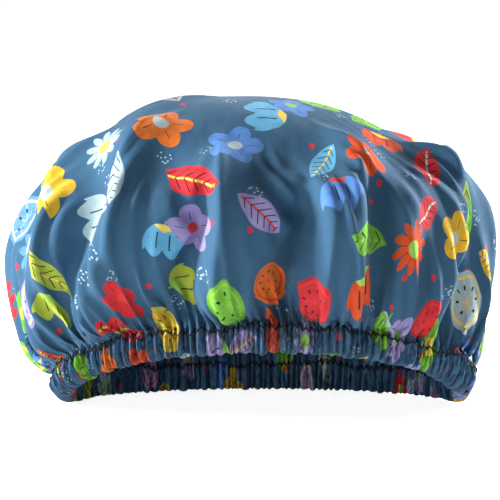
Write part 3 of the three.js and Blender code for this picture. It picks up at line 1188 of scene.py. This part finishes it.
class Graph:
    """The nodes of a material or a world, and the ways to add to them."""

    def __init__(self, owner: Material | bpy.types.World, shader: str = "Principled BSDF") -> None:
        """Start with the owner's one shader."""
        owner.use_nodes = True
        self.owner = owner
        self.tree = owner.node_tree
        self.shader = self.tree.nodes[shader]

    def dress(self, node: bpy.types.Node, **inputs: Feed) -> None:
        """Link values into a node's sockets, or set the sockets to plain numbers.

        Args:
            node: The node.
            inputs: What goes into its sockets, by name with _ for a space.
        """
        for name, value in inputs.items():
            self.feed(node.inputs[name.replace("_", " ")], value)

    def feed(self, socket: Socket, value: Feed) -> None:
        """Link a value into a socket, or set the socket to a plain number.

        Args:
            socket: The socket.
            value: What goes in.
        """
        if isinstance(value, Value):
            value = value.socket
        if isinstance(value, Socket):
            self.tree.links.new(value, socket)
        else:
            socket.default_value = value

    def node(self, kind: str, **inputs: Feed) -> bpy.types.Node:
        """Add a node.

        Args:
            kind: The node's type without its leading ShaderNode.
            inputs: What goes into its sockets, by name with _ for a space.

        Returns:
            The node.
        """
        made = self.tree.nodes.new("ShaderNode" + kind)
        self.dress(made, **inputs)
        return made

    def math(self, operation: str, *values: Value | float, clamp: bool = False) -> Value:
        """Add a sum.

        Args:
            operation: Blender's name for it.
            values: What goes in.
            clamp: Whether the answer is kept between 0 and 1.

        Returns:
            The answer.
        """
        made = self.node("Math")
        made.operation = operation
        made.use_clamp = clamp
        for socket, value in zip(made.inputs, values):
            self.feed(socket, value)
        return Value(self, made.outputs[0])

    def split(self, vector: Socket) -> tuple[Value, ...]:
        """Part a vector or a colour into its three numbers."""
        return tuple(Value(self, part) for part in self.node("SeparateXYZ", Vector=vector).outputs)

    def point(self, x: Value, y: Value, z: Value | float = 0.0) -> Socket:
        """Put numbers together as a vector."""
        return self.node("CombineXYZ", X=x, Y=y, Z=z).outputs["Vector"]

    def flat_map(self) -> tuple[Value, Value]:
        """Give the place on the flat cut's map, each way from 0 to 1."""
        made = self.node("UVMap")
        made.uv_map = FLAT_MAP
        return self.split(made.outputs["UV"])[:2]

    def noise(self, place: Socket, scale: float, detail: float) -> Value:
        """Give a cloudy number from 0 to 1."""
        made = self.node("TexNoise", Vector=place, Scale=scale, Detail=detail)
        return Value(self, made.outputs["Fac"])

    def pick(self, value: Value, colours: tuple[Colour, ...]) -> Socket:
        """Choose one of several colours by a number from 0 to 1.

        Args:
            value: The number.
            colours: The colours, each with an equal share.

        Returns:
            The chosen colour.
        """
        made = self.node("ValToRGB", Fac=value)
        made.color_ramp.interpolation = "CONSTANT"
        stops = made.color_ramp.elements
        while len(stops) < len(colours):
            stops.new(1.0)
        for number, colour in enumerate(colours):
            stops[number].position = number / len(colours)
            stops[number].color = colour
        return made.outputs["Color"]

    def mix(self, share: Value, under: Feed, over: Feed, blend: str = "MIX") -> Socket:
        """Lay one colour over another.

        Args:
            share: How much the upper one covers.
            under: The lower colour.
            over: The upper colour.
            blend: Blender's name for how they mix.

        Returns:
            The mixed colour.
        """
        made = self.node("Mix")
        made.data_type = "RGBA"
        made.blend_type = blend
        for number, value in ((0, share), (6, under), (7, over)):
            self.feed(made.inputs[number], value)
        return made.outputs[2]

    def bump(self, height: Value, distance: float, strength: float) -> None:
        """Raise the surface by a height.

        Args:
            height: The height, from 0 to 1.
            distance: How much 1 stands for, in metres.
            strength: How much of it shows.
        """
        made = self.node("Bump", Height=height, Distance=distance, Strength=strength)
        self.dress(self.shader, Normal=made.outputs["Normal"])


def new_finish(name: str) -> Graph:
    """Start a material that has one shader."""
    return Graph(bpy.data.materials.new(name))


class Motif(Enum):
    """The kinds of motif in the print."""

    BLOSSOM = 0
    DAISY = 1
    LEAF = 2
    CITRUS = 3
    BELL = 4


@dataclass
class Spot:
    """A place in a motif: across, up, from its middle and round it, with its edge at about 1."""

    x: Value
    y: Value
    reach: Value
    turn: Value


@dataclass
class Marks:
    """What a motif is drawn with: a body, a heart of a second colour and dark lines."""

    body: Value
    heart: Value
    line: Value


@dataclass(frozen=True)
class PrintedCotton:
    """Blue cotton satin with a bright print of scattered plants; lengths are in millimetres."""

    ground: Colour = linear(57, 95, 125)
    ink: Colour = linear(22, 28, 40)
    bodies: tuple[Colour, ...] = (
        linear(205, 52, 58),
        linear(120, 186, 62),
        linear(228, 122, 46),
        linear(104, 178, 216),
        linear(226, 184, 58),
        linear(156, 146, 196),
        linear(214, 84, 44),
        linear(168, 191, 197),
        linear(172, 190, 70),
        linear(92, 140, 206),
    )
    hearts: tuple[Colour, ...] = (
        linear(236, 206, 88),
        linear(186, 202, 202),
        linear(208, 64, 60),
        linear(140, 196, 84),
    )
    red: int = 0
    pale: int = 7
    spacing: float = 38.5
    looseness: float = 0.55
    radius: float = 16.5
    dot_spacing: float = 21.0
    dot_looseness: float = 0.9
    dot_shift: tuple[float, float] = (7.0, 3.0)
    dot_share: float = 0.2
    dot_radius: float = 1.9
    cluster_share: float = 0.42
    cluster_radius: float = 4.2
    speck_spacing: float = 2.6
    speck_looseness: float = 0.8
    speck_radius: float = 0.55
    threads: float = 14.0
    crinkle: float = 13.0
    crinkle_count: float = 44.0
    # Colour of the painted shade in the gathered creases.
    painted_crease_shade: Colour = (0.3, 0.32, 0.38, 1.0)
    roughness: float = 0.82

    @staticmethod
    def _deeper(colour: Colour) -> Colour:
        """Give a colour as a second coat of paint would make it."""
        return *(part**1.35 * 0.6 for part in colour[:3]), 1.0

    @staticmethod
    def _cells(graph: Graph, place: Socket, spacing: float, loose: float) -> bpy.types.Node:
        """Scatter points over the cloth.

        Args:
            graph: The material's nodes.
            place: Place on the cloth.
            spacing: Usual distance between points.
            loose: How far they stray from rows, 0 to 1.

        Returns:
            The node that finds the nearest point.
        """
        made = graph.node("TexVoronoi")
        made.voronoi_dimensions = "2D"
        graph.dress(made, Vector=place, Scale=1 / spacing, Randomness=loose)
        return made

    def _spot(self, graph: Graph, cells: bpy.types.Node, across: Value, up: Value) -> Spot:
        """Find the place within the nearest motif, which is turned by chance.

        Args:
            graph: The material's nodes.
            cells: The node that finds the nearest motif's middle.
            across: Place across the cloth.
            up: Place along the cloth.

        Returns:
            The place.
        """
        middle_x, middle_y, _ = graph.split(cells.outputs["Position"])
        chance = graph.node("TexWhiteNoise", Vector=cells.outputs["Position"])
        spin, size, _ = graph.split(chance.outputs["Color"])
        scale = size * 0.35 + 0.82
        off_x = (across - middle_x) * scale * (1 / self.radius)
        off_y = (up - middle_y) * scale * (1 / self.radius)
        sine, cosine = (spin * FULL_TURN).sin(), (spin * FULL_TURN).cos()
        x = off_x * cosine - off_y * sine
        y = off_x * sine + off_y * cosine
        return Spot(x, y, (x * x + y * y).root(), y.angle(x))

    @staticmethod
    def _draw(motif: Motif, at: Spot) -> Marks:
        """Draw one kind of motif.

        Args:
            motif: The kind.
            at: The place within it.

        Returns:
            Its marks.
        """
        if motif is Motif.BLOSSOM:
            petal = at.turn * 2.5
            body = at.reach.below(abs(petal.cos()) * 0.34 + 0.62)
            line = (abs(petal.sin()) * at.reach).below(0.03) * at.reach.between(0.34, 0.66)
            return Marks(body, at.reach.below(0.24), line)
        if motif is Motif.DAISY:
            petal = abs((at.turn * 5.0).cos())
            line = (petal * at.reach).below(0.05) * at.reach.between(0.36, 0.62)
            return Marks(at.reach.below(petal * 0.42 + 0.5), at.reach.below(0.3), line)
        if motif is Motif.LEAF:
            width = at.x * at.x * -1.0 + 1.0
            body = (abs(at.y) - width * 0.46).below(0.0)
            rib = abs(at.y).below(0.035) * abs(at.x).below(0.85)
            vein = abs(((at.x + abs(at.y) * 0.9) * 3.4).fract() - 0.5).below(0.08, 0.06)
            return Marks(body, rib, vein * (abs(at.y) - width * 0.34).below(0.0) * body)
        if motif is Motif.CITRUS:
            wedge = (abs((at.turn * 4.0).sin()) * at.reach).below(0.05) * at.reach.below(0.7)
            pith = at.reach.between(0.68, 0.76)
            pip = at.reach.between(0.36, 0.5) * abs((at.turn * 4.0).cos()).between(0.95, 1.1)
            return Marks(at.reach.below(0.88), pith.larger(wedge), pip)
        cup = at.reach.below(0.84) * (at.y - abs((at.x * 4.3).sin()) * 0.34).below(0.12)
        stem = abs(at.x).below(0.05) * at.y.between(-1.1, -0.7)
        fold = abs(abs(at.x) - 0.26).below(0.025) * at.y.between(-0.5, 0.1)
        return Marks(cup.larger(stem), (at.y + abs(at.x) * 0.5).below(-0.52) * cup, fold * cup)

    def _dotted(self, graph: Graph, across: Value, up: Value, colour: Socket) -> Socket:
        """Scatter red dots and clusters of pale specks between the motifs.

        Args:
            graph: The material's nodes.
            across: Place across the cloth.
            up: Place along the cloth.
            colour: The ground's colour.

        Returns:
            The colour with dots.
        """
        aside, ahead = self.dot_shift
        shifted = graph.point(across + aside, up + ahead)
        dots = self._cells(graph, shifted, self.dot_spacing, self.dot_looseness)
        kind = graph.split(dots.outputs["Color"])[0]
        reach = Value(graph, dots.outputs["Distance"]) * self.dot_spacing
        place = graph.point(across, up)
        specks = self._cells(graph, place, self.speck_spacing, self.speck_looseness)
        speck = Value(graph, specks.outputs["Distance"]) * self.speck_spacing
        red = reach.below(self.dot_radius, 0.3) * kind.below(self.dot_share, 0.001)
        cluster = reach.below(self.cluster_radius, 0.3)
        cluster = cluster * kind.between(self.dot_share, self.cluster_share, 0.001)
        colour = graph.mix(red, colour, self.bodies[self.red])
        return graph.mix(speck.below(self.speck_radius, 0.2) * cluster, colour, self.bodies[self.pale])

    def _crinkles(self, graph: Graph, x: Value, y: Value) -> tuple[Value, Value]:
        """Draw the fine creases that run out to the edge where the cloth is gathered.

        Args:
            graph: The material's nodes.
            x: Place across the cloth from its middle.
            y: Place along the cloth from its middle.

        Returns:
            The height above the creases, and how deep in a crease the cloth is, 0 to 1.
        """
        reach = (x * x + y * y).root()
        turn_x, turn_y = x / reach * self.crinkle_count, y / reach * self.crinkle_count
        place = graph.point(turn_x, turn_y, reach * 0.08)
        above = abs(graph.noise(place, scale=1.0, detail=2.0) - 0.5)
        tight = graph.node("Attribute")
        tight.attribute_name = GATHERS
        gathered = Value(graph, tight.outputs["Fac"])
        return above * gathered, above.below(0.04, 0.07) * gathered

    def material(self, flat_size: float) -> Material:
        """Make the cloth's material.

        Args:
            flat_size: Side of the square that the flat map covers, in metres.

        Returns:
            The material.
        """
        graph = new_finish("printed_cotton")
        side = flat_size / MM
        across, up = (way * side for way in graph.flat_map())
        place = graph.point(across, up)
        cells = self._cells(graph, place, self.spacing, self.looseness)
        kind, tint, second = graph.split(cells.outputs["Color"])
        at = self._spot(graph, cells, across, up)
        marks = Marks(kind * 0.0, kind * 0.0, kind * 0.0)
        for motif in Motif:
            drawn = self._draw(motif, at)
            chosen = kind.between(motif.value / len(Motif), (motif.value + 1) / len(Motif), 0.0001)
            marks.body = marks.body + drawn.body * chosen
            marks.heart = marks.heart + drawn.heart * chosen
            marks.line = marks.line + drawn.line * chosen
        patch = graph.noise(place, scale=0.03, detail=3.0) * 0.35
        colour = graph.mix(patch, self.ground, shaded(self.ground, 0.75))
        colour = self._dotted(graph, across, up, colour)
        stroke = graph.noise(place, scale=0.16, detail=5.0)
        wash = (stroke - 0.35) * (at.reach * 0.9 + 0.5)
        wash = graph.math("MAXIMUM", wash, 0.0, clamp=True)
        thin = graph.pick(tint, self.bodies)
        thick = graph.pick(tint, tuple(self._deeper(one) for one in self.bodies))
        colour = graph.mix(marks.body, colour, graph.mix(wash, thin, thick))
        colour = graph.mix(marks.heart * marks.body, colour, graph.pick(second, self.hearts))
        colour = graph.mix(marks.line, colour, self.ink)
        above, within = self._crinkles(graph, across - side / 2, up - side / 2)
        # Painted shade: the crinkle creases are darkened in the colour, standing in for the shade that
        # falls in them.
        colour = graph.mix(within * 0.9, colour, self.painted_crease_shade, "MULTIPLY")
        graph.dress(graph.shader, Base_Color=colour, Roughness=self.roughness)
        graph.dress(graph.shader, Specular_IOR_Level=0.15, Sheen_Weight=0.1, Sheen_Roughness=0.4)
        weave = (across * self.threads).sin() * (up * self.threads).sin()
        height = weave * 0.04 + graph.noise(place, scale=0.11, detail=4.0) + above * self.crinkle
        graph.bump(height, distance=1.5 * MM, strength=0.6)
        return graph.owner


@dataclass(frozen=True)
class LiningFilm:
    """A soft, slightly milky waterproof film."""

    colour: Colour = linear(214, 221, 226)
    roughness: float = 0.34

    def material(self) -> Material:
        """Make the film's material."""
        graph = new_finish("lining_film")
        place = graph.node("TexCoord").outputs["Object"]
        cloud = graph.noise(place, scale=26.0, detail=3.0)
        grain = graph.noise(place, scale=420.0, detail=2.0)
        colour = graph.mix(cloud, self.colour, shaded(self.colour, 0.9))
        graph.dress(graph.shader, Base_Color=colour, Roughness=cloud * 0.14 + self.roughness)
        graph.bump(cloud + grain * 0.15, distance=0.8 * MM, strength=0.3)
        return graph.owner


@dataclass(frozen=True)
class ElasticWeave:
    """Off-white woven elastic, ribbed along its length."""

    colour: Colour = linear(238, 234, 222)
    strip_length: float = 0.57
    roughness: float = 0.85

    def material(self) -> Material:
        """Make the elastic's material."""
        graph = new_finish("elastic_weave")
        along, across = (way * (self.strip_length / MM) for way in graph.flat_map())
        weave = ((across * 4.2).sin() * 0.6 + (along * 5.4).sin() * 0.4) * 0.5 + 0.5
        colour = graph.mix(weave, shaded(self.colour, 0.62), self.colour)
        graph.dress(graph.shader, Base_Color=colour, Roughness=self.roughness)
        graph.bump(weave, distance=0.25 * MM, strength=0.8)
        return graph.owner


@dataclass(frozen=True)
class BlackThread:
    """Black sewing thread with a fine twist."""

    colour: Colour = linear(9, 10, 14)
    painted_shine: Colour = linear(26, 28, 34)
    roughness: float = 0.7
    twists: float = 2.6 / (0.4 * MM)

    def material(self) -> Material:
        """Make the thread's material."""
        graph = new_finish("black_thread")
        x, y, z = graph.split(graph.node("TexCoord").outputs["Object"])
        twist = ((x + y + z * 1.3) * self.twists).sin() * 0.5 + 0.5
        # Painted highlight: the twist's lighter strands stand in for the thread's shine.
        colour = graph.mix(twist, self.colour, self.painted_shine)
        graph.dress(graph.shader, Base_Color=colour, Roughness=self.roughness, Specular_IOR_Level=0.2)
        graph.bump(twist, distance=0.1 * MM, strength=0.6)
        return graph.owner


@dataclass
class Stage:
    """The floor, the light and the camera.

    Each row of lamps has a lamp's name, place, side in metres and power in watts.
    """

    elevation: float = math.radians(8.0)
    distance: float = 1.4
    sensor: float = 36.0
    frame_width: float = 0.2887
    target: Vector = field(default_factory=lambda: Vector((0.0, 0.0, 0.0885)))
    floor_size: float = 8.0
    floor_colour: Colour = (0.92, 0.92, 0.92, 1.0)
    floor_glow: float = 0.86
    glow_start: float = 0.3
    glow_full: float = 1.2
    sky: float = 0.1
    lamps: tuple = (
        ("left", (-1.3, -0.25, 0.62), 0.2, 41),
        ("right", (1.15, 0.58, 0.52), 0.25, 49),
        ("overhead", (0.5, 0.0, 1.3), 0.4, 1),
        ("low", (-1.0, -1.1, 0.05), 0.4, 10),
    )

    @staticmethod
    def _seen(graph: Graph) -> Value:
        """Give 1 for what the camera sees, straight, mirrored or through something clear."""
        path = graph.node("LightPath").outputs
        straight, mirrored, through = (
            Value(graph, path[f"Is {kind} Ray"]) for kind in ("Camera", "Glossy", "Transmission")
        )
        return straight.larger(mirrored).larger(through)

    def _aim(self, name: str, data: bpy.types.ID, place: Vector) -> Piece:
        """Put a lamp or a camera where it faces the cap.

        Args:
            name: Its name.
            data: The lamp or the camera.
            place: Where it goes.

        Returns:
            Its object.
        """
        piece = put(name, data)
        piece.location = place
        piece.rotation_euler = (self.target - place).to_track_quat("-Z", "Y").to_euler()
        return piece

    def camera(self) -> None:
        """Put the camera where the photograph was taken from."""
        lens = bpy.data.cameras.new("camera")
        lens.sensor_width = self.sensor
        lens.lens = self.sensor * self.distance / self.frame_width
        back = Vector((0, -math.cos(self.elevation), math.sin(self.elevation)))
        bpy.context.scene.camera = self._aim("camera", lens, self.target + self.distance * back)

    def light(self) -> None:
        """Light the cap softly from both sides, from above and from low in front."""
        world = bpy.data.worlds.new("studio")
        bpy.context.scene.world = world
        graph = Graph(world, "Background")
        level = graph.node("MapRange", Value=self._seen(graph), To_Min=self.sky)
        graph.dress(graph.shader, Color=WHITE, Strength=level.outputs["Result"])
        for name, place, size, power in self.lamps:
            lamp = bpy.data.lights.new(name, "AREA")
            lamp.size = size
            lamp.energy = power
            self._aim(name, lamp, Vector(place))

    def floor(self) -> None:
        """Make the white floor, which keeps the cap's shadow."""
        work = bmesh.new()
        bmesh.ops.create_grid(work, x_segments=1, y_segments=1, size=self.floor_size)
        piece = put("floor", mesh_from("floor", work))
        graph = new_finish("white_floor")
        reach = graph.node("VectorMath", Vector=graph.node("TexCoord").outputs["Object"])
        reach.operation = "LENGTH"
        level = graph.node("MapRange", Value=reach.outputs["Value"], To_Min=self.floor_glow)
        graph.dress(level, From_Min=self.glow_start, From_Max=self.glow_full)
        glow = self._seen(graph) * Value(graph, level.outputs["Result"])
        graph.dress(graph.shader, Base_Color=self.floor_colour, Roughness=0.9, Specular_IOR_Level=0.1)
        graph.dress(graph.shader, Emission_Color=WHITE, Emission_Strength=glow)
        piece.data.materials.append(graph.owner)


def main() -> None:
    """Build the cap, its stage and the size file."""
    logging.basicConfig(level=logging.INFO)
    bpy.context.scene.view_settings.view_transform = "Standard"
    stage = Stage()
    stage.camera()
    stage.light()
    stage.floor()

    form = CapForm()
    shell = PrintedShell(form, RimPleats())
    cloth, flat = shell.grids()
    thread = BlackThread().material()
    printed = shell.build(cloth, flat)
    printed.data.materials.append(PrintedCotton().material(map_size(flat)))
    lining = WaterproofLining(form).build(shell.hang(cloth))
    lining.data.materials.append(LiningFilm().material())
    elastic = RimElastic(form).build()
    elastic.data.materials.append(ElasticWeave().material())
    seams = [SeamThread(shell, face).build(cloth) for face in SeamFace]
    for seam in seams:
        seam.data.materials.append(thread)
    for tack_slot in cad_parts["elastic_tack"].material_slots:
        tack_slot.material = thread
    for piece in (printed, lining, elastic, *seams):
        LOG.info("%s: %d faces", piece.name, len(piece.data.polygons))


if __name__ == "__main__":
    main()
